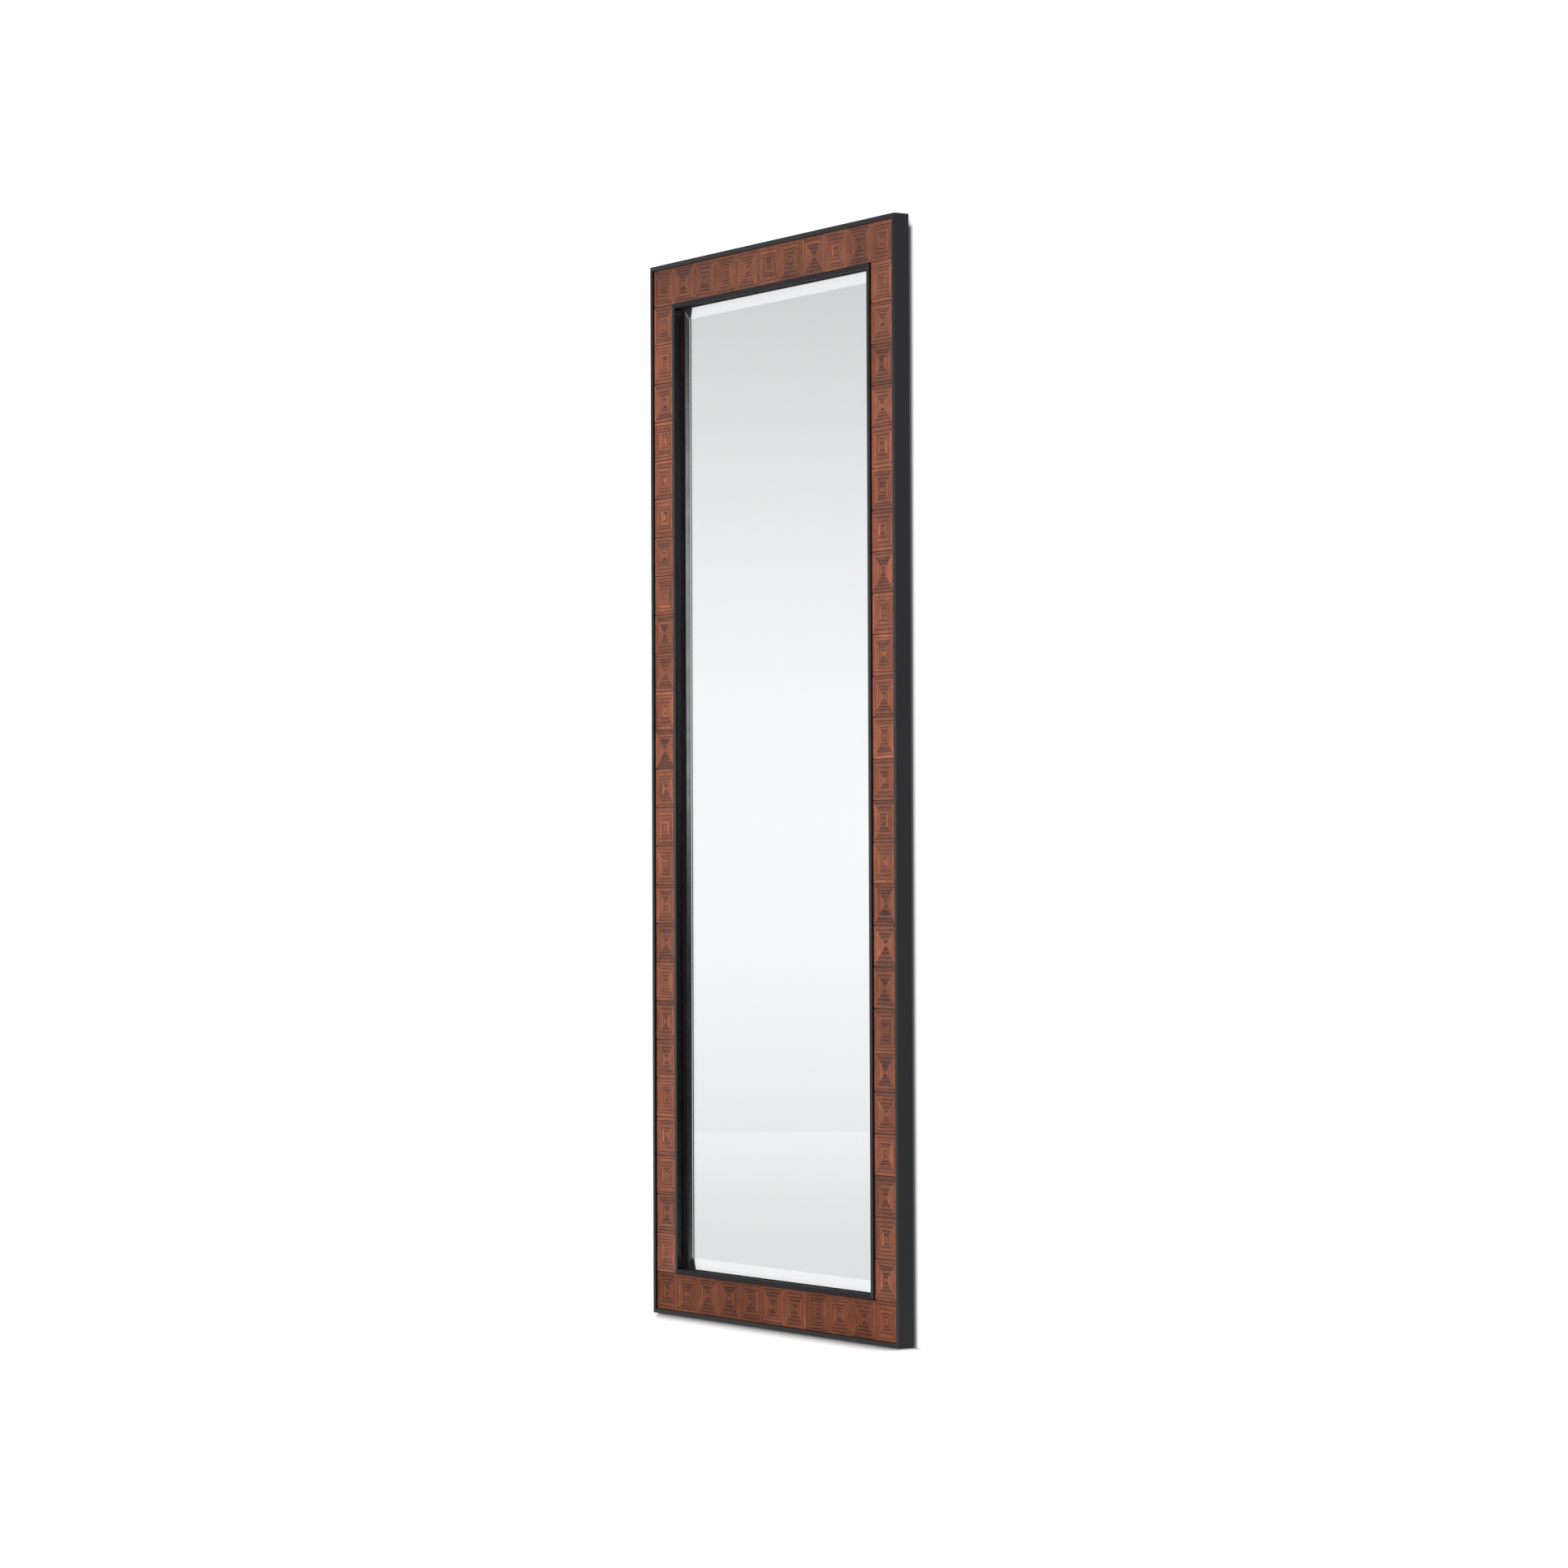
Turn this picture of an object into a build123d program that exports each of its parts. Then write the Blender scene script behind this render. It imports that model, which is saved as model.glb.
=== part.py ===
from build123d import *
import math
import os

# A tall floor mirror: an inlaid flat frame between two black rims, with a bevelled mirror set deep in it.
# Millimetres. X is to the right of someone facing the mirror, Y is to the back, Z is up. The mirror stands
# on its bottom edge, centred on the origin. A depth is measured backwards from the front of the rims, and
# an offset inwards from the outer edge of the frame, the same on all four sides.

# Driving dimensions of the frame
frame_width = 756.0
frame_height = 1829.0
outer_trim_width = 7.5
outer_trim_depth = 28.6
inner_trim_width = 8.0
inner_trim_depth = 13.5
inlay_width = 65.0
inlay_recess = 3.7
tile_thickness = 2.5
tile_gap = 0.3
side_tile_rows = 25
end_tile_columns = 9
core_thickness = 16.0
mitre_gap = 0.1
trim_edge_radius = 0.5

# The mirror plate and what holds it
glass_thickness = 5.0
bevel_width = 25.4
bevel_drop = 3.0
glass_cover = 5.1
glass_edge_clearance = 1.5
ledge_step = 1.2
ledge_gap = 0.1
cushion_thickness = 1.7
cushion_inset = 4.0
setting_block_length = 60.0
setting_block_from_side = 120.0
back_panel_thickness = 3.0
back_panel_overlap = 20.0
back_panel_corner_radius = 4.0
panel_screw_from_edge = 6.0
panel_screw_spacing = 310.0

# Mitre joints
biscuit_length = 53.0
biscuit_width = 19.0
biscuit_thickness = 4.0
biscuit_clearance = 0.2
brace_leg = 92.0
brace_width = 18.0
brace_thickness = 1.5
brace_from_edge = 5.0
brace_end_radius = 4.0
brace_first_hole = 34.0
brace_last_hole = 80.0

# Ring hangers on the back of the side rails
hanger_below_top = 300.0
strap_width = 15.0
strap_length = 44.0
strap_thickness = 1.2
strap_end_radius = 3.0
strap_seat_gap = 0.1
strap_first_hole = 15.0
strap_last_hole = 34.0
ring_wire = 3.0
ring_clearance = 0.05
ring_bar = 17.0
ring_corner_radius = 3.5
ring_leg = 4.5

# Wall bumpers, and the pads that widen the foot of the bottom rim
bumper_radius = 8.0
bumper_stand_off = 3.0
bumper_from_end = 150.0
bumper_bore_radius = 2.2
bumper_counterbore_radius = 4.4
bumper_floor = 3.0
bumper_edge_radius = 1.0
foot_pad_length = 80.0
foot_pad_height = 7.0
foot_pad_from_side = 40.0
foot_pad_edge_radius = 0.8

# Screws
screw_shank = 3.5
screw_length = 12.0
screw_tip = 3.0
screw_tip_radius = 0.35
screw_head_radius = 3.4
screw_head_height = 2.0
screw_head_round = 0.8
screw_slot_width = 0.9
screw_slot_length = 4.0
screw_slot_depth = 1.1
screw_hole_clearance = 0.3
pilot_clearance = 0.05

# Places that follow from the driving dimensions
overall_depth = outer_trim_depth + bumper_stand_off
inlay_end = outer_trim_width + inlay_width
sight_edge = inlay_end + inner_trim_width
ledge_edge = sight_edge + ledge_step
core_front = inlay_recess + tile_thickness
core_back = core_front + core_thickness
glass_back = core_back - cushion_thickness
glass_front = glass_back - glass_thickness
glass_edge = sight_edge - glass_cover
glass_rebate = glass_edge - glass_edge_clearance
bevel_slope = bevel_drop / bevel_width
ledge_back = glass_front + bevel_drop - bevel_slope * (ledge_edge - glass_edge) - ledge_gap
panel_edge = ledge_edge - back_panel_overlap
panel_back = core_back + back_panel_thickness
rail_middle = (outer_trim_width + panel_edge) / 2
brace_line = outer_trim_width + brace_from_edge + brace_width / 2
knuckle_bore = ring_wire / 2 + ring_clearance
knuckle_radius = knuckle_bore + strap_thickness
ring_axis_depth = core_back + strap_seat_gap + knuckle_radius
ring_axis_height = frame_height - hanger_below_top

SIDES = ("left", "right", "top", "bottom")


def y_at(depth):
    """The Y of a depth behind the front of the rims."""
    return depth - overall_depth / 2


def on_side(side, offset, along):
    """X and Z of a point on one side: its offset from the outer edge and its distance along that side."""
    if side == "left":
        return -frame_width / 2 + offset, along
    if side == "right":
        return frame_width / 2 - offset, along
    if side == "top":
        return -frame_width / 2 + along, frame_height - offset
    return -frame_width / 2 + along, offset


def side_length(side):
    """The outer length of one side."""
    return frame_height if side in ("left", "right") else frame_width


def prism(points, front, back):
    """A flat piece with the outline given by X and Z points, from one depth to another."""
    outline = Wire.make_polygon([Vector(x, y_at(front), z) for x, z in points], close=True)
    return Solid.extrude(Face(outline), Vector(0, back - front, 0))


def block(centre, size, front, back, corner=0.0):
    """A flat rectangular piece from one depth to another, with rounded corners where a radius is given."""
    outline = RectangleRounded(*size, corner) if corner else Rectangle(*size)
    flat = Plane((centre[0], y_at(back), centre[1]), x_dir=(1, 0, 0), z_dir=(0, -1, 0)) * outline
    return extrude(flat, amount=back - front)


def peg(centre, radius, front, back):
    """A round piece standing along Y from one depth to another."""
    middle = (centre[0], y_at((front + back) / 2), centre[1])
    return Pos(*middle) * Rot(90, 0, 0) * Cylinder(radius, back - front)


def mitred_rail(side, outer, inner, front, back):
    """One side of a mitred frame, between two offsets and two depths."""
    length = side_length(side)
    short = mitre_gap / math.sqrt(2)
    ends = [
        (outer, outer + short),
        (outer, length - outer - short),
        (inner, length - inner - short),
        (inner, inner + short),
    ]
    return prism([on_side(side, offset, along) for offset, along in ends], front, back)


def eased(rail):
    """The rail with its long front edges eased."""
    front_edges = rail.faces().sort_by(Axis.Y)[0].edges().sort_by(SortBy.LENGTH)[-2:]
    return fillet(front_edges, trim_edge_radius)


def save(name, *solids):
    """Writes one node, as one solid or as a group of separate ones."""
    shape = solids[0] if len(solids) == 1 else Compound(children=list(solids))
    export_step(shape, f"parts/{name}.step")


def spread(first, last, spacing):
    """Places from first to last, both included, about one spacing apart."""
    count = max(2, round((last - first) / spacing) + 1)
    return [first + (last - first) * n / (count - 1) for n in range(count)]


def wood_screw(centre, seat):
    """A pan-head screw driven from the back, with its head's flat side at the seat depth."""
    head = Pos(0, 0, screw_head_height / 2) * Cylinder(screw_head_radius, screw_head_height)
    head = fillet(head.edges().sort_by(Axis.Z)[-1], screw_head_round)
    for turn in (0, 90):
        slot = Box(screw_slot_length, screw_slot_width, screw_slot_depth)
        head -= Pos(0, 0, screw_head_height - screw_slot_depth / 2) * Rot(0, 0, turn) * slot
    straight = screw_length - screw_tip
    shank = Pos(0, 0, -straight / 2) * Cylinder(screw_shank / 2, straight)
    tip = Pos(0, 0, -straight - screw_tip / 2) * Cone(screw_tip_radius, screw_shank / 2, screw_tip)
    return Pos(centre[0], y_at(seat), centre[1]) * Rot(-90, 0, 0) * (head + shank + tip)


def pilot(centre, seat):
    """The hole that a screw's shank fills, from its seat to its point."""
    return peg(centre, screw_shank / 2 + pilot_clearance, seat - screw_length - pilot_clearance, seat)


def screw_hole(centre, front, back):
    """The clearance hole through a plate that a screw holds down."""
    return peg(centre, screw_shank / 2 + screw_hole_clearance, front, back)


# Where each group of screws goes: its places and the depth of the face that its heads sit on

panel_screw_line = panel_edge + panel_screw_from_edge
panel_screw_places = []
for side in SIDES:
    first = panel_screw_line if side in ("left", "right") else panel_screw_line + panel_screw_spacing / 2
    for along in spread(first, side_length(side) - first, panel_screw_spacing):
        panel_screw_places.append(on_side(side, panel_screw_line, along))
panel_screw_seat = panel_back

corners = [(x_sign, z_sign) for x_sign in (-1, 1) for z_sign in (-1, 1)]


def corner_place(corner, from_side, from_end):
    """X and Z of a point given by its offsets from the two outer edges that meet at a corner."""
    x = corner[0] * (frame_width / 2 - from_side)
    z = frame_height - from_end if corner[1] > 0 else from_end
    return x, z


def brace_places(corner):
    """The four screws of one corner brace, two on each leg."""
    first = outer_trim_width + brace_from_edge + brace_first_hole
    last = outer_trim_width + brace_from_edge + brace_last_hole
    upright = [corner_place(corner, brace_line, along) for along in (first, last)]
    level = [corner_place(corner, along, brace_line) for along in (first, last)]
    return upright + level


brace_seat = core_back + brace_thickness
brace_screw_places = [place for corner in corners for place in brace_places(corner)]

hand_signs = {"left": -1, "right": 1}


def hanger_x(sign):
    """The X of one hanger, in the middle of the bare back of its rail."""
    return sign * (frame_width / 2 - rail_middle)


strap_seat = core_back + strap_thickness
strap_screw_places = [
    (hanger_x(sign), ring_axis_height + up)
    for sign in hand_signs.values()
    for up in (strap_first_hole, strap_last_hole)
]

bumper_places = [corner_place(corner, rail_middle, bumper_from_end) for corner in corners]
bumper_seat = core_back + bumper_floor

screw_groups = {
    "back_panel_screws": (panel_screw_places, panel_screw_seat),
    "corner_brace_screws": (brace_screw_places, brace_seat),
    "hanger_screws": (strap_screw_places, strap_seat),
    "bumper_screws": (bumper_places, bumper_seat),
}


def biscuit(corner, growth=0.0):
    """The pointed oval key across one mitre, or its slot where it is grown by a clearance."""
    half_length = biscuit_length / 2 + growth
    half_width = biscuit_width / 2 + growth
    arc = ThreePointArc((-half_length, 0), (0, half_width), (half_length, 0))
    lens = make_face([arc, mirror(arc, about=Plane.XZ)])
    middle = outer_trim_width + inlay_width / 2
    x, z = corner_place(corner, middle, middle)
    depth = core_front + core_thickness / 2
    thickness = biscuit_thickness + 2 * growth
    turn = -45 * corner[0] * corner[1]
    solid = extrude(lens, amount=thickness / 2, both=True)
    return Pos(x, y_at(depth), z) * Rot(0, turn, 0) * Rot(90, 0, 0) * solid


def make_core_rail(side):
    """A wood rail: full thickness under the inlay, a seat for the inner rim, and a ledge over the glass."""
    rail = mitred_rail(side, outer_trim_width, inlay_end, core_front, inner_trim_depth)
    rail += mitred_rail(side, outer_trim_width, ledge_edge, inner_trim_depth, ledge_back)
    rail += mitred_rail(side, outer_trim_width, glass_rebate, ledge_back, core_back)
    for corner in corners:
        rail -= biscuit(corner, biscuit_clearance)
    for places, seat in screw_groups.values():
        for place in places:
            rail -= pilot(place, seat)
    return rail


def make_tiles(side):
    """The square tiles along one side. The corner tiles belong to the top and the bottom."""
    length = side_length(side)
    if side in ("left", "right"):
        count, first_cut, last_cut = side_tile_rows, inlay_end, length - inlay_end
        cuts = [first_cut + (last_cut - first_cut) * n / count for n in range(count + 1)]
    else:
        count = end_tile_columns
        pitch = (length - 2 * inlay_end) / count
        inner_cuts = [inlay_end + pitch * n for n in range(count + 1)]
        cuts = [outer_trim_width] + inner_cuts + [length - outer_trim_width]
    half_gap = tile_gap / 2
    tiles = []
    for start, stop in zip(cuts, cuts[1:]):
        low = on_side(side, outer_trim_width + half_gap, start + half_gap)
        high = on_side(side, inlay_end - half_gap, stop - half_gap)
        centre = ((low[0] + high[0]) / 2, (low[1] + high[1]) / 2)
        size = (abs(high[0] - low[0]), abs(high[1] - low[1]))
        tiles.append(block(centre, size, inlay_recess, core_front))
    return tiles


def make_glass():
    """The mirror plate: a thin edge all round, and a bevel that rises to the flat front."""
    centre = (0, frame_height / 2)
    size = (frame_width - 2 * glass_edge, frame_height - 2 * glass_edge)
    plate = block(centre, size, glass_front + bevel_drop, glass_back)
    faces = []
    for inset, depth in ((0, glass_front + bevel_drop), (bevel_width, glass_front)):
        half_x = size[0] / 2 - inset
        half_z = size[1] / 2 - inset
        corners_xz = [(-half_x, -half_z), (half_x, -half_z), (half_x, half_z), (-half_x, half_z)]
        points = [Vector(x, y_at(depth), centre[1] + z) for x, z in corners_xz]
        faces.append(Face(Wire.make_polygon(points, close=True)))
    return plate + loft(faces, ruled=True)


def make_setting_blocks():
    """Two rubber blocks between the bottom of the rebate and the edge of the glass."""
    centre_z = glass_rebate + glass_edge_clearance / 2
    blocks = []
    for sign in (-1, 1):
        x = sign * (frame_width / 2 - glass_edge - setting_block_from_side)
        size = (setting_block_length, glass_edge_clearance)
        blocks.append(block((x, centre_z), size, glass_front + bevel_drop, glass_back))
    return blocks


def make_back_panel():
    """The thin board that closes the back and presses the cushion on the glass."""
    size = (frame_width - 2 * panel_edge, frame_height - 2 * panel_edge)
    panel = block((0, frame_height / 2), size, core_back, panel_back, back_panel_corner_radius)
    for place in panel_screw_places:
        panel -= screw_hole(place, core_back, panel_back)
    return panel


def make_corner_brace(corner):
    """A flat steel angle over one mitre, screwed to both rails."""
    start = outer_trim_width + brace_from_edge
    far = start + brace_leg
    near = start + brace_width
    outline = [(start, start), (far, start), (far, near), (near, near), (near, far), (start, far)]
    points = [corner_place(corner, from_side, from_end) for from_side, from_end in outline]
    brace = prism(points, core_back, brace_seat)
    leg_ends = [(far, start), (far, near), (near, far), (start, far)]
    for from_side, from_end in leg_ends:
        x, z = corner_place(corner, from_side, from_end)
        end_edge = brace.edges().filter_by(Axis.Y).sort_by_distance((x, y_at(core_back), z))[0]
        brace = fillet(end_edge, brace_end_radius)
    for place in brace_places(corner):
        brace -= screw_hole(place, core_back, brace_seat)
    return brace


def make_hanger_strap(sign):
    """A steel strap with two screw holes, its lower end rolled round the ring's bar."""
    x = hanger_x(sign)
    strap_back = core_back + strap_thickness
    centre = (x, ring_axis_height + strap_length / 2)
    strap = block(centre, (strap_width, strap_length), core_back, strap_back)
    upper = strap.edges().filter_by(Axis.Y).sort_by(Axis.Z)[-2:]
    strap = fillet(upper, strap_end_radius)
    roll = Pos(x, y_at(ring_axis_depth), ring_axis_height) * Rot(0, 90, 0)
    strap += roll * Cylinder(knuckle_radius, strap_width)
    strap -= roll * Cylinder(knuckle_bore, 2 * strap_width)
    for up in (strap_first_hole, strap_last_hole):
        strap -= screw_hole((x, ring_axis_height + up), core_back, strap_back)
    return strap


def make_hanger_ring(sign):
    """A D-shaped wire ring that hangs from its straight bar."""
    half_bar = ring_bar / 2
    side = half_bar + ring_corner_radius
    leg_end = -ring_corner_radius - ring_leg
    bar = Line((-half_bar, 0), (half_bar, 0))
    corner_right = JernArc((half_bar, 0), (1, 0), ring_corner_radius, -90)
    leg_right = Line((side, -ring_corner_radius), (side, leg_end))
    bow = ThreePointArc((side, leg_end), (0, leg_end - side), (-side, leg_end))
    leg_left = Line((-side, leg_end), (-side, -ring_corner_radius))
    corner_left = JernArc((-side, -ring_corner_radius), (0, 1), ring_corner_radius, -90)
    pieces = (bar, corner_right, leg_right, bow, leg_left, corner_left)
    path = Wire([piece.edge() for piece in pieces])
    section = Plane((0, 0, 0), z_dir=(1, 0, 0)) * Circle(ring_wire / 2)
    ring = sweep(section, path=path)
    place = Pos(hanger_x(sign), y_at(ring_axis_depth), ring_axis_height)
    return place * Rot(90, 0, 0) * ring


def make_bumper(place):
    """A rubber bumper with a sunk screw, which keeps the frame just off the wall."""
    body = peg(place, bumper_radius, core_back, overall_depth)
    body = fillet(body.edges().sort_by(Axis.Y)[-1], bumper_edge_radius)
    body -= peg(place, bumper_bore_radius, core_back, overall_depth)
    return body - peg(place, bumper_counterbore_radius, bumper_seat, overall_depth)


def make_foot_pad(sign):
    """A rubber pad on the back of the bottom rim, level with the floor: it makes the foot deeper."""
    x = sign * (frame_width / 2 - foot_pad_from_side - foot_pad_length / 2)
    size = (foot_pad_length, foot_pad_height)
    pad = block((x, foot_pad_height / 2), size, outer_trim_depth, overall_depth)
    upper_edge = pad.faces().sort_by(Axis.Y)[-1].edges().sort_by(Axis.Z)[-1]
    return fillet(upper_edge, foot_pad_edge_radius)


def make_all():
    """Builds every piece and writes one file for each node."""
    os.makedirs("parts", exist_ok=True)
    for side in SIDES:
        save(f"core_rail_{side}", make_core_rail(side))
        save(f"outer_trim_{side}", eased(mitred_rail(side, 0, outer_trim_width, 0, outer_trim_depth)))
        save(f"inner_trim_{side}", eased(mitred_rail(side, inlay_end, sight_edge, 0, inner_trim_depth)))
        save(f"inlay_tiles_{side}", *make_tiles(side))
    save("mirror_glass", make_glass())
    save("glass_setting_blocks", *make_setting_blocks())
    cushion_edge = glass_edge + cushion_inset
    cushion_size = (frame_width - 2 * cushion_edge, frame_height - 2 * cushion_edge)
    save("glass_cushion", block((0, frame_height / 2), cushion_size, glass_back, core_back))
    save("back_panel", make_back_panel())
    save("mitre_biscuits", *[biscuit(corner) for corner in corners])
    for corner in corners:
        height = "top" if corner[1] > 0 else "bottom"
        hand = "right" if corner[0] > 0 else "left"
        save(f"corner_brace_{height}_{hand}", make_corner_brace(corner))
    for hand, sign in hand_signs.items():
        save(f"hanger_strap_{hand}", make_hanger_strap(sign))
        save(f"hanger_ring_{hand}", make_hanger_ring(sign))
    save("wall_bumpers", *[make_bumper(place) for place in bumper_places])
    save("foot_pads", *[make_foot_pad(sign) for sign in hand_signs.values()])
    for name, (places, seat) in screw_groups.items():
        save(name, *[wood_screw(place, seat) for place in places])


make_all()
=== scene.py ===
"""The looks of the floor mirror: strip inlay, black lacquer, a bevelled plate, and the fittings behind.

Metres, in the same frame as the solids: X to the right of someone facing the mirror, Y to the back, Z up.
"""

import math
import random

import bpy
from mathutils import Matrix, Vector


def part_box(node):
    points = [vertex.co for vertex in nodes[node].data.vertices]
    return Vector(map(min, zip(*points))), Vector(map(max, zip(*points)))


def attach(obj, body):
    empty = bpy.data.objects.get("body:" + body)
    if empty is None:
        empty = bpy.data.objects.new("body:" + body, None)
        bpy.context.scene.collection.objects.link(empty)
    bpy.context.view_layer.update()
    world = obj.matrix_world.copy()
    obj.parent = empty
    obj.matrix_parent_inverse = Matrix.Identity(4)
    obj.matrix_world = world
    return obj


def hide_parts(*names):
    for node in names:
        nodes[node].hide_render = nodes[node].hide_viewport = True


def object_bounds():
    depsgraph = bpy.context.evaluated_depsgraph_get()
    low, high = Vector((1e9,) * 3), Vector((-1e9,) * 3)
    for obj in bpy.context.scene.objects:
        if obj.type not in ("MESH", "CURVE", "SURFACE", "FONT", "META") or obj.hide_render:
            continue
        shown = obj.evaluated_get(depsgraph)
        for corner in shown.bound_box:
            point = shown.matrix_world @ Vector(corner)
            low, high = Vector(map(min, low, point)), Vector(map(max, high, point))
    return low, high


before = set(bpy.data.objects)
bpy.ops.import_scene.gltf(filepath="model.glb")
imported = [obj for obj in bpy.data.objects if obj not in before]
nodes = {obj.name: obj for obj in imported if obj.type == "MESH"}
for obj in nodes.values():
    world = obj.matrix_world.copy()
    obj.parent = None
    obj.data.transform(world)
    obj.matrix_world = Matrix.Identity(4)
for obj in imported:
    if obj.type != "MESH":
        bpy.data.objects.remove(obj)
cad_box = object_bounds()

MM = 0.001
NO_LENGTH = 1e-9

# The photograph's view, from its 1932 by 1932 pixel frame
PHOTO_SIZE_PX = 1932
FOCAL_LENGTH_PX = 5500
SENSOR_WIDTH_MM = 36
CAMERA_PLACE = (6.2957, -4.0836, 0.7432)
CAMERA_AZIMUTH = 56.938
CAMERA_ELEVATION = -1.308
CAMERA_ROLL = -0.225

# Sizes that the solids were built to
INLAY_WIDTH = 65.0 * MM
TILE_GAP = 0.3 * MM
SIDE_TILES = 25
END_TILES = 9

# The strips of one inlay tile. A ring's shift and a seam's trim are shares of the ring's width
INLAY_SEED = 11
STRIP_RINGS = (5, 6)
STRIP_CROWN = 0.16 * MM
STRIP_THICKNESS = 1.4 * MM
STRIP_SPAN = 6.0 * MM
SEAM_WIDTH = 0.50 * MM
SEAM_WAVE = 0.45 * MM
MOST_TRIM = 0.45
CORNER_WANDER = 0.7 * MM
CENTRE_SHIFT = 3.0 * MM
RING_SHIFT = 0.12

# A strip's section: places across it, and how far each lies under the crown, as a share of the crown
STRIP_PROFILE = ((0.0, 1.0), (0.16, 0.3), (0.5, 0.0), (0.84, 0.3), (1.0, 1.0))

# The tones of the strips, from dark (0) to light (1), with painted shade on the top and bottom rails, and
# how far they lean from copper to purple-brown, a painted sheen that follows the strips' direction
# Painted shade: the top and bottom rails are set darker than the sides.
RAIL_PAINTED_SHADE = {"left": 0.72, "right": 0.72, "top": 0.39, "bottom": 0.39}
TILE_SPREAD = 0.07
STRIP_SPREAD = {"left": 0.16, "right": 0.16, "top": 0.06, "bottom": 0.05}
# Painted sheen: how far each tile's level strips lean to the shaded purple-brown, for each rail.
LEVEL_LEAN = {"left": (0.45, 1.15), "right": (0.45, 1.15), "top": (0.5, 1.0), "bottom": (0.4, 0.9)}
UPRIGHT_LEAN = 0.24
LEAN_SPREAD = 0.10
COPPER_LEAN = 0.5
COPPER_SHARE = (-1.0, 0.4)
DARK_CENTRE = (-0.05, 0.2)
STRIP_SHADE = (0.50, 1.30)
STRIP_EDGE_SHADE = 0.60

# The mirror plate
GLASS_INDEX = 1.52
BEVEL_WIDTH = 25.4 * MM
BEVEL_DROP = 3.0 * MM
SILVER_CLEARANCE = 0.1 * MM

# Light: strengths are shares of white
WORLD_LIGHT = 0.5
WHITE = (1.0, 1.0, 1.0, 1.0)
SOFT_WHITE = (0.99, 0.995, 1.0, 1.0)

# The card that the plate reflects, in metres, with its strength at the bright height and far from it
CARD_DISTANCE = 6.0
CARD_HEIGHT = 5.0
CARD_HALF_WIDTH = 1.5
CARD_FADE_START = 0.9
CARD_FADE_STOP = 0.3
CARD_PEAK = 1.005
CARD_EDGE = 0.475
CARD_BRIGHT_HEIGHT = 0.92
CARD_BRIGHT_REACH = 1.68

# The dark gap beside the card: its azimuth, strengths, and a glow placed by the sine of the angle up
DIM_SIDE = -38.0
DIM_FACING = (0.90, 0.975)
DIM_GLOW = 0.36
DIM_BASE = 0.03
DIM_GLOW_HEIGHT = 0.075
DIM_GLOW_REACH = 0.075

# The other sides in reflections: facing is the cosine of the angle to the middle of the dim side
CAMERA_SIDE = 0.22
FAR_SIDE = 0.7
SIDE_FACING = (0.5, 0.98)

# The floor in reflections: a sweep that brightens towards the card, and a pale patch round the mirror
FLOOR_COLOUR = (0.8, 0.8, 0.8, 1.0)
SWEEP_DISTANCE = (0.6, 6.5)
SWEEP_GLOW = (0.79, 0.92)
SWEEP_HALF_WIDTH = (0.35, 1.1)
SWEEP_FACING = (0.2, 0.7)
NEAR_FLOOR = 0.77
NEAR_FLOOR_DISTANCE = (1.2, 3.6)

# The painted shadow that darkens floor and wall towards the mirror, and the wall's distance behind the
# bumpers
FLOOR_SHADE = 95 * MM
SIDE_SHADE = 22 * MM
FLOOR_SIDE_SHADE = 60 * MM
SHADE_DEPTH = 0.9
SHADE_SLANT = 1.5
FLOOR_FALL = 1.7
WALL_FALL = 2.5
STAGE_GLOW = 0.62
FLOOR_SIZE = 60.0
WALL_GAP = 0.2 * MM


def add_node(tree, kind, values=None, **settings):
    """A shader node, with its inputs set to numbers or joined to other nodes' outputs."""
    made = tree.nodes.new(kind)
    for name, value in settings.items():
        setattr(made, name, value)
    for name, value in (values or {}).items():
        socket = made.inputs[name]
        if isinstance(value, bpy.types.NodeSocket):
            tree.links.new(value, socket)
        else:
            socket.default_value = value
    return made


def math_node(tree, operation, first, second=None, clamp=False):
    """The output of one Math node."""
    values = {0: first} if second is None else {0: first, 1: second}
    return add_node(tree, "ShaderNodeMath", values, operation=operation, use_clamp=clamp).outputs[0]


def mix_colour(tree, factor, first, second, blend="MIX"):
    """The output of a colour Mix node."""
    made = tree.nodes.new("ShaderNodeMix")
    made.data_type = "RGBA"
    made.blend_type = blend
    for socket, value in ((made.inputs[0], factor), (made.inputs[6], first), (made.inputs[7], second)):
        if isinstance(value, bpy.types.NodeSocket):
            tree.links.new(value, socket)
        else:
            socket.default_value = value if isinstance(value, float) else (*value, 1.0)
    return made.outputs[2]


def grey_of(tree, value):
    """A grey as light as a value."""
    values = {"Red": value, "Green": value, "Blue": value}
    return add_node(tree, "ShaderNodeCombineColor", values).outputs[0]


def mix_shaders(tree, share, first, second):
    """The output of a Mix Shader node, which shows the first at 0 and the second at 1."""
    return add_node(tree, "ShaderNodeMixShader", {0: share, 1: first, 2: second}).outputs[0]


def map_range(tree, value, low, high, to_low, to_high, smooth=False):
    """The output of a Map Range node."""
    kind = "SMOOTHSTEP" if smooth else "LINEAR"
    values = {"Value": value, "From Min": low, "From Max": high, "To Min": to_low, "To Max": to_high}
    return add_node(tree, "ShaderNodeMapRange", values, interpolation_type=kind).outputs["Result"]


def noise(tree, vector, scale, detail=3.0, roughness=0.55):
    """The grey output of a Noise texture, from 0 to 1."""
    values = {"Vector": vector, "Scale": scale, "Detail": detail, "Roughness": roughness}
    return add_node(tree, "ShaderNodeTexNoise", values).outputs["Fac"]


def stretched(tree, vector, scale):
    """A vector multiplied along each axis."""
    return add_node(tree, "ShaderNodeMapping", {"Vector": vector, "Scale": scale}).outputs["Vector"]


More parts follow.
